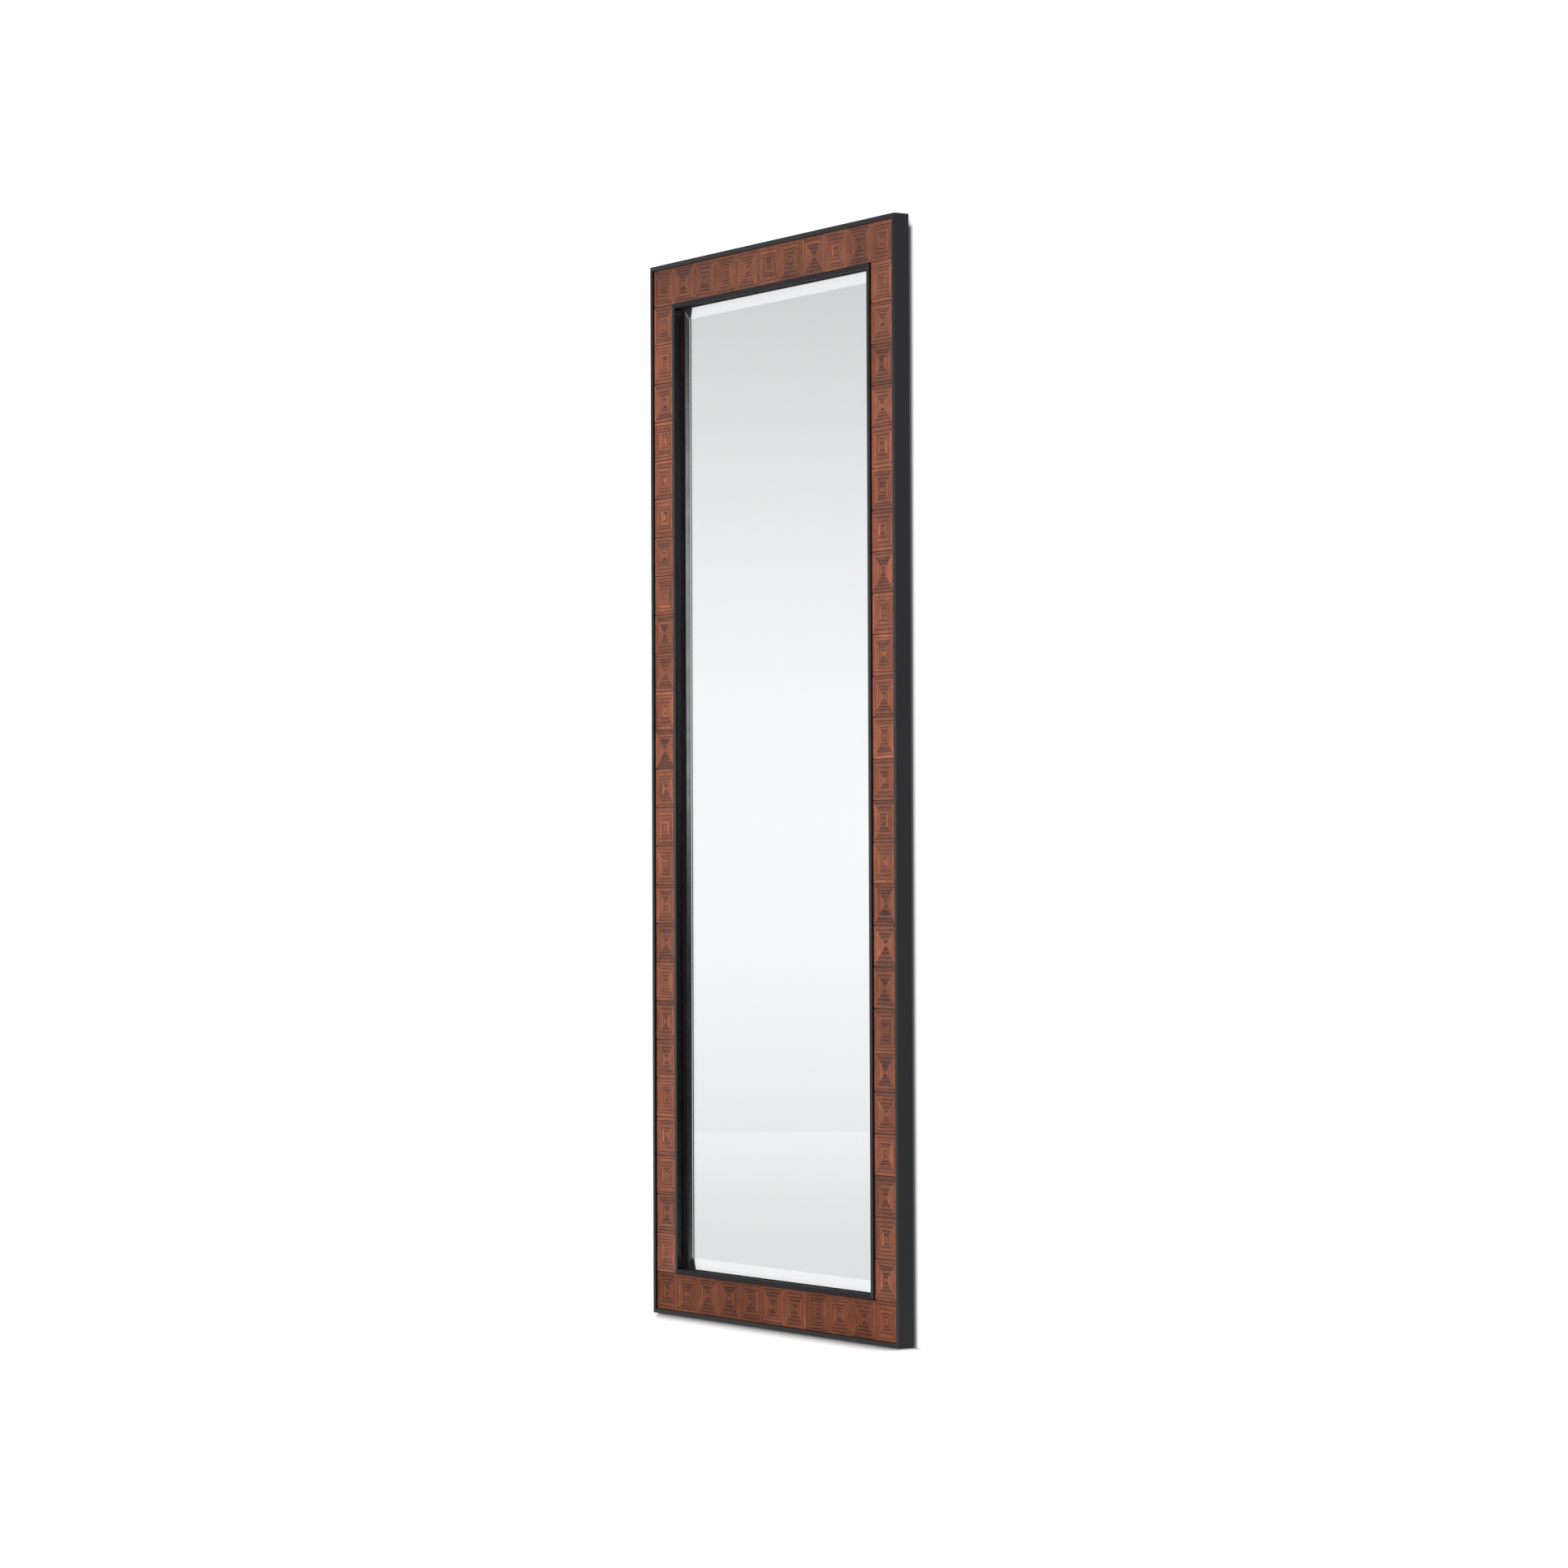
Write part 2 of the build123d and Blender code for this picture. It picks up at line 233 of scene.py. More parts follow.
def new_material(name, colour, roughness, metallic=0.0):
    """A material with one Principled shader, and the object's own coordinates for its texture."""
    material = bpy.data.materials.new(name)
    material.use_nodes = True
    tree = material.node_tree
    shader = tree.nodes["Principled BSDF"]
    shader.inputs["Base Color"].default_value = (*colour, 1.0)
    shader.inputs["Roughness"].default_value = roughness
    shader.inputs["Metallic"].default_value = metallic
    place = add_node(tree, "ShaderNodeTexCoord").outputs["Object"]
    return material, tree, shader, place


def add_bump(tree, shader, height, depth):
    """Joins a height to the shader's normal, with the depth in metres."""
    bump = add_node(tree, "ShaderNodeBump", {"Height": height, "Distance": depth, "Strength": 1.0})
    tree.links.new(bump.outputs["Normal"], shader.inputs["Normal"])


def make_lacquer(name, specular, dark, light, gloss_range):
    """Black lacquer on fine-grained wood, with a little unevenness in its gloss."""
    material, tree, shader, place = new_material(name, light, gloss_range[0])
    shader.inputs["Specular IOR Level"].default_value = specular
    cloud = noise(tree, place, 35.0)
    speck = noise(tree, place, 900.0, detail=2.0)
    tree.links.new(mix_colour(tree, cloud, dark, light), shader.inputs["Base Color"])
    gloss = map_range(tree, cloud, 0.3, 0.7, *gloss_range)
    tree.links.new(gloss, shader.inputs["Roughness"])
    add_bump(tree, shader, speck, 0.008 * MM)
    return material


def make_inlay_material(name, specular):
    """Fibrous stained strips, with a painted sheen: copper where they run upright, purple-brown where they
    lie level, as the fibres catch the light.
    """
    material, tree, shader, place = new_material(name, (0.3, 0.12, 0.07), 0.46)
    lay = add_node(tree, "ShaderNodeUVMap", uv_map="lay").outputs["UV"]
    tone = add_node(tree, "ShaderNodeVertexColor", layer_name="tone").outputs["Color"]
    part = add_node(tree, "ShaderNodeSeparateColor", {"Color": tone}).outputs
    split = add_node(tree, "ShaderNodeSeparateXYZ", {"Vector": lay}).outputs

    apart = math_node(tree, "MULTIPLY", part["Blue"], 37.0)
    axes = {"X": split["X"], "Y": split["Y"], "Z": apart}
    grain_place = add_node(tree, "ShaderNodeCombineXYZ", axes).outputs[0]
    fibre = noise(tree, stretched(tree, grain_place, (70.0, 12.0, 1.0)), 1.0, detail=5.0, roughness=0.7)
    streak = noise(tree, stretched(tree, grain_place, (28.0, 3.2, 1.0)), 1.0, detail=3.0)
    pore = noise(tree, stretched(tree, grain_place, (420.0, 34.0, 1.0)), 1.0, detail=2.0)
    stain = noise(tree, stretched(tree, place, (1.0, 1.0, 0.6)), 38.0, detail=4.0)
    blotch = noise(tree, place, 9.0, detail=2.0)

    # Painted sheen: upright strips take the lit copper and level strips the shaded purple-brown, picked by
    # the tone's green.
    level = mix_colour(tree, part["Blue"], (0.146, 0.052, 0.036), (0.194, 0.064, 0.041))
    upright = mix_colour(tree, part["Blue"], (0.365, 0.112, 0.052), (0.480, 0.148, 0.069))
    colour = mix_colour(tree, part["Green"], upright, level)
    fibre_shade = map_range(tree, fibre, 0.28, 0.72, 0.66, 1.30)
    streak_shade = map_range(tree, streak, 0.3, 0.7, 0.78, 1.20)
    pore_shade = map_range(tree, pore, 0.34, 0.5, 0.70, 1.0)
    stain_shade = map_range(tree, stain, 0.3, 0.7, 0.84, 1.14)
    blotch_shade = map_range(tree, blotch, 0.3, 0.7, 0.88, 1.1)
    strip_shade = map_range(tree, part["Red"], 0.0, 1.0, *STRIP_SHADE)
    shade = math_node(tree, "MULTIPLY", fibre_shade, streak_shade)
    for factor in (pore_shade, stain_shade, strip_shade, blotch_shade):
        shade = math_node(tree, "MULTIPLY", shade, factor)
    edge = math_node(tree, "ABSOLUTE", math_node(tree, "SUBTRACT", split["Y"], 0.5))
    edge_shade = map_range(tree, edge, 0.28, 0.5, 1.0, STRIP_EDGE_SHADE, smooth=True)
    shade = math_node(tree, "MULTIPLY", shade, edge_shade)
    shaded = mix_colour(tree, 1.0, colour, grey_of(tree, shade), "MULTIPLY")
    tree.links.new(shaded, shader.inputs["Base Color"])
    shader.inputs["Specular IOR Level"].default_value = specular
    gloss = map_range(tree, fibre, 0.2, 0.8, 0.42, 0.58)
    tree.links.new(gloss, shader.inputs["Roughness"])
    add_bump(tree, shader, fibre, 0.12 * MM)
    return material


def make_glue_material():
    """The dark glue and backing that shows in the seams between the strips."""
    material, tree, shader, place = new_material("seam_glue", (0.03, 0.013, 0.009), 0.7)
    grain = noise(tree, place, 600.0)
    colour = mix_colour(tree, grain, (0.02, 0.009, 0.006), (0.045, 0.02, 0.013))
    tree.links.new(colour, shader.inputs["Base Color"])
    add_bump(tree, shader, grain, 0.08 * MM)
    return material


def make_stained_core():
    """Dark brown stain on the boards behind and under the inlay."""
    material, tree, shader, place = new_material("core_board", (0.035, 0.022, 0.015), 0.5)
    grain = noise(tree, stretched(tree, place, (1.0, 1.0, 0.15)), 420.0, detail=5.0)
    cloud = noise(tree, place, 14.0)
    dark = mix_colour(tree, cloud, (0.011, 0.009, 0.008), (0.016, 0.013, 0.011))
    colour = mix_colour(tree, grain, dark, (0.028, 0.021, 0.017))
    tree.links.new(colour, shader.inputs["Base Color"])
    shader.inputs["Specular IOR Level"].default_value = 0.25
    tree.links.new(map_range(tree, grain, 0.3, 0.7, 0.38, 0.52), shader.inputs["Roughness"])
    add_bump(tree, shader, grain, 0.03 * MM)
    return material


def make_hardboard():
    """Smooth brown hardboard with pressed fibres."""
    material, tree, shader, place = new_material("hardboard", (0.16, 0.085, 0.042), 0.55)
    cloud = noise(tree, place, 6.0)
    fibre = noise(tree, stretched(tree, place, (1.0, 1.0, 0.7)), 800.0, detail=6.0, roughness=0.7)
    colour = mix_colour(tree, cloud, (0.135, 0.070, 0.034), (0.190, 0.102, 0.052))
    flecks = map_range(tree, fibre, 0.35, 0.65, 0.72, 1.2)
    shaded = mix_colour(tree, 1.0, colour, grey_of(tree, flecks), "MULTIPLY")
    tree.links.new(shaded, shader.inputs["Base Color"])
    tree.links.new(map_range(tree, fibre, 0.3, 0.7, 0.48, 0.64), shader.inputs["Roughness"])
    add_bump(tree, shader, fibre, 0.06 * MM)
    return material


def make_metal(name, light, dark, roughness, grain_scale):
    """Plated steel with a patchy, slightly scratched finish."""
    material, tree, shader, place = new_material(name, light, roughness, metallic=1.0)
    cloud = noise(tree, place, 120.0)
    grain = noise(tree, stretched(tree, place, (1.0, 1.0, 8.0)), grain_scale, detail=4.0)
    tree.links.new(mix_colour(tree, cloud, dark, light), shader.inputs["Base Color"])
    gloss = map_range(tree, grain, 0.3, 0.7, roughness - 0.08, roughness + 0.12)
    tree.links.new(gloss, shader.inputs["Roughness"])
    add_bump(tree, shader, grain, 0.01 * MM)
    return material


def make_rubber():
    """Matt black rubber with a moulded grain."""
    material, tree, shader, place = new_material("rubber", (0.02, 0.02, 0.02), 0.75)
    grain = noise(tree, place, 2200.0, detail=2.0)
    colour = mix_colour(tree, grain, (0.015, 0.015, 0.015), (0.03, 0.03, 0.03))
    tree.links.new(colour, shader.inputs["Base Color"])
    add_bump(tree, shader, grain, 0.04 * MM)
    return material


def make_felt():
    """Thin grey needled felt."""
    material, tree, shader, place = new_material("felt_sheet", (0.22, 0.22, 0.21), 0.95)
    wool = noise(tree, place, 1500.0, detail=6.0, roughness=0.75)
    colour = mix_colour(tree, wool, (0.15, 0.15, 0.145), (0.3, 0.3, 0.285))
    tree.links.new(colour, shader.inputs["Base Color"])
    add_bump(tree, shader, wool, 0.2 * MM)
    return material


def make_beech():
    """Pressed beech, with its short grain."""
    material, tree, shader, place = new_material("beech", (0.5, 0.33, 0.19), 0.6)
    grain = noise(tree, stretched(tree, place, (1.0, 6.0, 1.0)), 260.0, detail=5.0)
    colour = mix_colour(tree, grain, (0.42, 0.26, 0.14), (0.58, 0.39, 0.24))
    tree.links.new(colour, shader.inputs["Base Color"])
    add_bump(tree, shader, grain, 0.05 * MM)
    return material


def make_glass_material():
    """Clear float glass with its faint tint."""
    material, tree, shader, place = new_material("clear_glass", (0.99, 0.995, 1.0), 0.0)
    shader.inputs["Transmission Weight"].default_value = 1.0
    shader.inputs["IOR"].default_value = GLASS_INDEX
    clean = noise(tree, place, 4.0)
    tint = mix_colour(tree, clean, (0.985, 0.990, 0.996), (0.992, 0.996, 1.0))
    tree.links.new(tint, shader.inputs["Base Color"])
    return material


def make_silver():
    """The silvering on the back of the plate."""
    material, tree, shader, place = new_material("silvering", (0.96, 0.958, 0.955), 0.0, metallic=1.0)
    coat = noise(tree, place, 3.0)
    colour = mix_colour(tree, coat, (0.955, 0.953, 0.952), (0.965, 0.963, 0.96))
    tree.links.new(colour, shader.inputs["Base Color"])
    return material


def add_object(name, data):
    """An object in the scene, for a mesh, a lamp or a camera."""
    made = bpy.data.objects.new(name, data)
    bpy.context.scene.collection.objects.link(made)
    return made


class Seam:
    """The line between two rings of strips on one side of a tile. It wanders a little between its ends."""

    def __init__(self, start, stop, swing, rng):
        self.start = start
        self.stop = stop
        self.swing = swing
        along = stop - start
        self.sideways = Vector((0, 0))
        if along.length > NO_LENGTH:
            self.sideways = Vector((-along.y, along.x)).normalized()
        self.turns = rng.uniform(0.7, 1.6)
        self.phase = rng.uniform(0, 2 * math.pi)
        self.quick_turns = rng.uniform(2.2, 3.4)
        self.quick_phase = rng.uniform(0, 2 * math.pi)

    def at(self, share):
        """The point at a share of the way along."""
        slow = math.sin(2 * math.pi * self.turns * share + self.phase)
        quick = 0.4 * math.sin(2 * math.pi * self.quick_turns * share + self.quick_phase)
        fade = math.sin(math.pi * share) ** 0.5 if 0 < share < 1 else 0.0
        return self.start.lerp(self.stop, share) + self.sideways * self.swing * fade * (slow + quick)


def square_corners(centre, half):
    """The four corners of a rectangle, counter-clockwise from the lower left."""
    signs = ((-1, -1), (1, -1), (1, 1), (-1, 1))
    return [Vector((centre.x + x * half[0], centre.y + z * half[1])) for x, z in signs]


def tile_seams(centre, half, count, rng):
    """The nested seams of one tile: for each ring, the seams of its four sides."""
    drift = Vector((rng.uniform(-1, 1), rng.uniform(-1, 1))) * CENTRE_SHIFT
    rings = []
    for ring in range(count + 1):
        share = ring / count
        inside = 0 < ring < count
        size = 1 - share + (rng.uniform(-RING_SHIFT, RING_SHIFT) / count if inside else 0)
        corners = square_corners(centre + drift * share ** 1.3, (half[0] * size, half[1] * size))
        if inside:
            corners = [c + Vector((rng.uniform(-1, 1), rng.uniform(-1, 1))) * CORNER_WANDER for c in corners]
        swing = SEAM_WAVE * (1 - share) if inside else 0.0
        rings.append([Seam(corners[side], corners[(side + 1) % 4], swing, rng) for side in range(4)])
    return rings


class StripMesh:
    """Gathers the strips of one side of the frame into one mesh."""

    def __init__(self, front):
        self.front = front
        self.points = []
        self.faces = []
        self.lays = []
        self.tones = []
        self.slots = []

    def add_strip(self, outer, inner, tone, offset):
        """One crowned strip between two seams. Its cross-section is closed, and so are its ends."""
        first = len(self.points)
        length = (outer.stop - outer.start).length
        steps = max(2, math.ceil(length / STRIP_SPAN))
        section = [(across, drop * STRIP_CROWN) for across, drop in STRIP_PROFILE]
        section += [(1.0, STRIP_THICKNESS), (0.0, STRIP_THICKNESS)]
        width = len(section)
        for step in range(steps + 1):
            share = step / steps
            a = outer.at(share)
            b = inner.at(share)
            gap = (b - a).length
            trim = min(MOST_TRIM, SEAM_WIDTH / 2 / gap) if gap > NO_LENGTH else MOST_TRIM
            run = offset + length * share
            for across, depth in section:
                place = a.lerp(b, trim + across * (1 - 2 * trim))
                self.points.append((place.x, self.front + depth, place.y))
                self.lays.append((run, across))
        for step in range(steps):
            for k in range(width):
                a = first + step * width + k
                b = first + step * width + (k + 1) % width
                self.add_face((b, a, a + width, b + width), tone, 0)
        near = [first + k for k in range(width)]
        far = [first + steps * width + k for k in range(width)]
        self.add_face(tuple(near), tone, 0)
        self.add_face(tuple(reversed(far)), tone, 0)

    def add_face(self, corners, tone, slot):
        """One face, with its tone and its material."""
        self.faces.append(corners)
        self.tones.append(tone)
        self.slots.append(slot)

    def add_backing(self, low, high, front, back):
        """The board that one tile's strips are glued to."""
        first = len(self.points)
        for y in (front, back):
            for x, z in ((low[0], low[1]), (high[0], low[1]), (high[0], high[1]), (low[0], high[1])):
                self.points.append((x, y, z))
                self.lays.append((x, z))
        quads = [(0, 1, 2, 3), (7, 6, 5, 4), (0, 4, 5, 1), (1, 5, 6, 2), (2, 6, 7, 3), (3, 7, 4, 0)]
        for quad in quads:
            self.add_face(tuple(first + k for k in quad), (0.5, 0.5, 0.5, 1.0), 1)

    def make(self, name, materials):
        """The finished object."""
        mesh = bpy.data.meshes.new(name)
        mesh.from_pydata(self.points, [], self.faces)
        for material in materials:
            mesh.materials.append(material)
        mesh.uv_layers.new(name="lay")
        mesh.color_attributes.new("tone", "FLOAT_COLOR", "CORNER")
        lays = []
        tones = []
        for face, colour in zip(self.faces, self.tones):
            for corner in face:
                lays.extend(self.lays[corner])
                tones.extend(colour)
        mesh.uv_layers["lay"].data.foreach_set("uv", lays)
        mesh.color_attributes["tone"].data.foreach_set("color", tones)
        mesh.polygons.foreach_set("material_index", self.slots)
        mesh.update()
        return add_object(name, mesh)


def tile_places(side):
    """The lower and upper corner, in X and Z, of each tile on one side."""
    low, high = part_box(f"inlay_tiles_{side}")
    half_gap = TILE_GAP / 2
    if side in ("left", "right"):
        pitch = (high.z - low.z + TILE_GAP) / SIDE_TILES
        cuts = [low.z - half_gap + pitch * n for n in range(SIDE_TILES + 1)]
        return [((low.x, a + half_gap), (high.x, b - half_gap)) for a, b in zip(cuts, cuts[1:])]
    start = low.x - half_gap
    stop = high.x + half_gap
    pitch = (stop - start - 2 * INLAY_WIDTH) / END_TILES
    cuts = [start] + [start + INLAY_WIDTH + pitch * n for n in range(END_TILES + 1)] + [stop]
    return [((a + half_gap, low.z), (b - half_gap, high.z)) for a, b in zip(cuts, cuts[1:])]


def clamp(value):
    """A number held between 0 and 1."""
    return min(1.0, max(0.0, value))


def strip_tone(ring, level, tile, rng):
    """The tone of one strip: its shade, which carries the rail's painted shade, how far it leans to the
    purple-brown of the painted sheen, and its hue.
    """
    depth = ring / (tile["rings"] - 1)
    shade = tile["shade"] + rng.gauss(0, tile["spread"]) - tile["dark_centre"] * depth ** 1.4
    lean = tile["lean"] * (0.8 + 0.2 * depth) if level else UPRIGHT_LEAN
    lean += rng.gauss(0, LEAN_SPREAD)
    if level and rng.random() < tile["copper_share"] * (1 - depth):
        lean *= COPPER_LEAN
    return (clamp(shade), clamp(lean), rng.random(), 1.0)


def make_inlay(side, materials, seed):
    """The inlay of one side: every tile is four fans of strips laid in nested squares."""
    rng = random.Random(seed)
    low_box, high_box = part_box(f"inlay_tiles_{side}")
    front = low_box.y
    gathered = StripMesh(front)
    for low, high in tile_places(side):
        centre = Vector(((low[0] + high[0]) / 2, (low[1] + high[1]) / 2))
        half = ((high[0] - low[0]) / 2, (high[1] - low[1]) / 2)
        count = rng.choice(STRIP_RINGS)
        rings = tile_seams(centre, half, count, rng)
        tile = {
            "rings": count,
            "shade": RAIL_PAINTED_SHADE[side] + rng.gauss(0, TILE_SPREAD),
            "spread": STRIP_SPREAD[side],
            "lean": rng.uniform(*LEVEL_LEAN[side]),
            "dark_centre": rng.uniform(*DARK_CENTRE),
            "copper_share": rng.uniform(*COPPER_SHARE),
        }
        for ring in range(count):
            for turn in range(4):
                tone = strip_tone(ring, turn in (0, 2), tile, rng)
                gathered.add_strip(rings[ring][turn], rings[ring + 1][turn], tone, rng.uniform(0, 5))
        gathered.add_backing(low, high, front + STRIP_THICKNESS, high_box.y)
    made = gathered.make(f"inlay_{side}", materials)
    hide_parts(f"inlay_tiles_{side}")
    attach(made, "frame")


def make_mirror_plate(glass, silver):
    """The bevelled plate: clear glass in front and at the edges, and silver on the back."""
    low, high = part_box("mirror_glass")
    levels = [
        (0.0, high.y - SILVER_CLEARANCE),
        (0.0, low.y + BEVEL_DROP),
        (BEVEL_WIDTH, low.y),
    ]
    points = []
    for move, y in levels:
        left = low.x + move
        right = high.x - move
        bottom = low.z + move
        top = high.z - move
        points += [(left, y, bottom), (right, y, bottom), (right, y, top), (left, y, top)]
    faces = [(3, 2, 1, 0)]
    for level in range(2):
        for k in range(4):
            a = 4 * level + k
            b = 4 * level + (k + 1) % 4
            faces.append((a, b, b + 4, a + 4))
    faces.append((8, 9, 10, 11))
    mesh = bpy.data.meshes.new("mirror_plate")
    mesh.from_pydata(points, [], faces)
    mesh.materials.append(glass)
    mesh.materials.append(silver)
    mesh.polygons[0].material_index = 1
    mesh.update()
    made = add_object("mirror_plate", mesh)
    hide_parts("mirror_glass")
    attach(made, "frame")


def dress_nodes(finishes):
    """Gives each CAD node that stays visible the material of the longest start that fits its name."""
    for name, made in nodes.items():
        fitting = [start for start in finishes if name.startswith(start)]
        if fitting:
            made.data.materials.clear()
            made.data.materials.append(finishes[max(fitting, key=len)])


def make_camera():
    """The photograph's camera."""
    azimuth, elevation, roll = (math.radians(a) for a in (CAMERA_AZIMUTH, CAMERA_ELEVATION, CAMERA_ROLL))
    back = Vector((
        math.sin(azimuth) * math.cos(elevation),
        -math.cos(azimuth) * math.cos(elevation),
        math.sin(elevation),
    ))
    level_right = (-back).cross(Vector((0, 0, 1))).normalized()
    level_up = level_right.cross(-back)
    right = level_right * math.cos(roll) + level_up * math.sin(roll)
    up = level_up * math.cos(roll) - level_right * math.sin(roll)
    data = bpy.data.cameras.new("photo_camera")
    data.sensor_width = SENSOR_WIDTH_MM
    data.lens = SENSOR_WIDTH_MM * FOCAL_LENGTH_PX / PHOTO_SIZE_PX
    made = add_object("photo_camera", data)
    made.matrix_world = Matrix.Translation(CAMERA_PLACE) @ Matrix((right, up, back)).transposed().to_4x4()
    bpy.context.scene.camera = made


def make_lamp(name, place, aim, size, power, in_reflections):
    """A soft rectangular lamp that points at a place."""
    data = bpy.data.lights.new(name, "AREA")
    data.shape = "RECTANGLE"
    data.size, data.size_y = size
    data.energy = power
    made = add_object(name, data)
    made.location = place
    made.rotation_euler = (Vector(aim) - Vector(place)).to_track_quat("-Z", "Y").to_euler()
    made.visible_camera = False
    made.visible_glossy = in_reflections
    made.visible_transmission = in_reflections


def toward(azimuth):
    """The level direction to an azimuth, where 0 is straight in front of the mirror and 90 its right."""
    angle = math.radians(azimuth)
    return (math.sin(angle), -math.cos(angle), 0.0)


def facing(tree, direction, azimuth):
    """How far a direction faces an azimuth, from -1 to 1."""
    values = {0: direction, 1: toward(azimuth)}
    return add_node(tree, "ShaderNodeVectorMath", values, operation="DOT_PRODUCT").outputs["Value"]


def bell(tree, value, middle, width):
    """A smooth hump that is 1 at its middle."""
    away = math_node(tree, "DIVIDE", math_node(tree, "SUBTRACT", value, middle), width)
    squared = math_node(tree, "MULTIPLY", away, away)
    return math_node(tree, "EXPONENT", math_node(tree, "MULTIPLY", squared, -1.0))


def side_glow(tree, direction):
    """The reflected studio away from its bright side: dim towards the camera, and pale behind."""
    toward_camera = facing(tree, direction, CAMERA_AZIMUTH)
    return map_range(tree, toward_camera, *SIDE_FACING, FAR_SIDE, CAMERA_SIDE, smooth=True)


def camera_rays(tree):
    """1 for rays that come straight from the camera."""
    return add_node(tree, "ShaderNodeLightPath").outputs["Is Camera Ray"]


def mirrored_rays(tree):
    """1 for rays that reach a surface by reflection or through glass."""
    rays = add_node(tree, "ShaderNodeLightPath").outputs
    return math_node(tree, "MAXIMUM", rays["Is Glossy Ray"], rays["Is Transmission Ray"])


def white_glow(tree, strength):
    """An emission of nearly neutral white."""
    return add_node(tree, "ShaderNodeEmission", {"Color": SOFT_WHITE, "Strength": strength}).outputs[0]


def dim_window(tree, direction, height):
    """The dark gap of the studio beside the card, with the soft glow that shows in it."""
    glow = bell(tree, height, DIM_GLOW_HEIGHT, DIM_GLOW_REACH)
    strength = map_range(tree, glow, 0.0, 1.0, DIM_BASE, DIM_GLOW)
    share = map_range(tree, facing(tree, direction, DIM_SIDE), *DIM_FACING, 0.0, 1.0, smooth=True)
    return share, strength


def make_world():
    """A plain white studio: even light, white to the camera, and paler or darker sides in reflections."""
    world = bpy.data.worlds.new("studio")
    bpy.context.scene.world = world
    world.use_nodes = True
    tree = world.node_tree
    tree.nodes.clear()
    direction = add_node(tree, "ShaderNodeTexCoord").outputs["Generated"]
    height = add_node(tree, "ShaderNodeSeparateXYZ", {"Vector": direction}).outputs["Z"]
    share, strength = dim_window(tree, direction, height)
    rest = side_glow(tree, direction)
    reflected = add_node(tree, "ShaderNodeMix", {0: share, 2: rest, 3: strength}).outputs[0]
    light = add_node(tree, "ShaderNodeBackground", {"Color": WHITE, "Strength": WORLD_LIGHT}).outputs[0]
    seen = add_node(tree, "ShaderNodeBackground", {"Color": WHITE, "Strength": 1.0}).outputs[0]
    soft = add_node(tree, "ShaderNodeBackground", {"Color": SOFT_WHITE, "Strength": reflected}).outputs[0]
    lit = mix_shaders(tree, mirrored_rays(tree), light, soft)
    both = mix_shaders(tree, camera_rays(tree), lit, seen)
    add_node(tree, "ShaderNodeOutputWorld", {"Surface": both})


def bare_material(name):
    """A material with an empty tree of nodes."""
    material = bpy.data.materials.new(name)
    material.use_nodes = True
    material.node_tree.nodes.clear()
    return material, material.node_tree


def make_card_material():
    """A white card with a soft light on its middle, which only reflections show. Its ends fade out."""
    material, tree = bare_material("studio_card")
    place = add_node(tree, "ShaderNodeTexCoord").outputs["Object"]
    split = add_node(tree, "ShaderNodeSeparateXYZ", {"Vector": place}).outputs
    hump = bell(tree, split["Z"], CARD_BRIGHT_HEIGHT, CARD_BRIGHT_REACH)
    strength = map_range(tree, hump, 0.0, 1.0, CARD_EDGE, CARD_PEAK)
    across = math_node(tree, "ABSOLUTE", facing(tree, place, 90 - CAMERA_AZIMUTH))
    fade_start = CARD_HALF_WIDTH - CARD_FADE_START
    fade_stop = CARD_HALF_WIDTH - CARD_FADE_STOP
    whole = map_range(tree, across, fade_start, fade_stop, 1.0, 0.0, smooth=True)
    visible = math_node(tree, "MULTIPLY", whole, mirrored_rays(tree))
    clear = add_node(tree, "ShaderNodeBsdfTransparent").outputs[0]
    both = mix_shaders(tree, visible, clear, white_glow(tree, strength))
    add_node(tree, "ShaderNodeOutputMaterial", {"Surface": both})
    return material


def make_plane(name, corners, material):
    """A flat stage piece."""
    mesh = bpy.data.meshes.new(name)
    mesh.from_pydata(corners, [], [(0, 1, 2, 3)])
    mesh.materials.append(material)
    made = add_object(name, mesh)


def shaded_white(tree, apart, fall):
    """White that keeps the lamps' shadows, with a painted shadow that darkens it softly where apart nears 0,
    beside the object.
    """
    nearness = math_node(tree, "POWER", math_node(tree, "SUBTRACT", 1.0, apart, clamp=True), fall)
    shade = math_node(tree, "SUBTRACT", 1.0, math_node(tree, "MULTIPLY", nearness, SHADE_DEPTH))
    grey = grey_of(tree, shade)
    diffuse = add_node(tree, "ShaderNodeBsdfDiffuse", {"Color": grey}).outputs[0]
    glow = add_node(tree, "ShaderNodeEmission", {"Color": grey, "Strength": STAGE_GLOW}).outputs[0]
    return add_node(tree, "ShaderNodeAddShader", {0: diffuse, 1: glow}).outputs[0]


def outside(tree, value, edge, reach):
    """How far a place lies past an edge, as a share of reach."""
    beyond = math_node(tree, "SUBTRACT", value, edge)
    return math_node(tree, "MAXIMUM", math_node(tree, "DIVIDE", beyond, reach), 0.0)


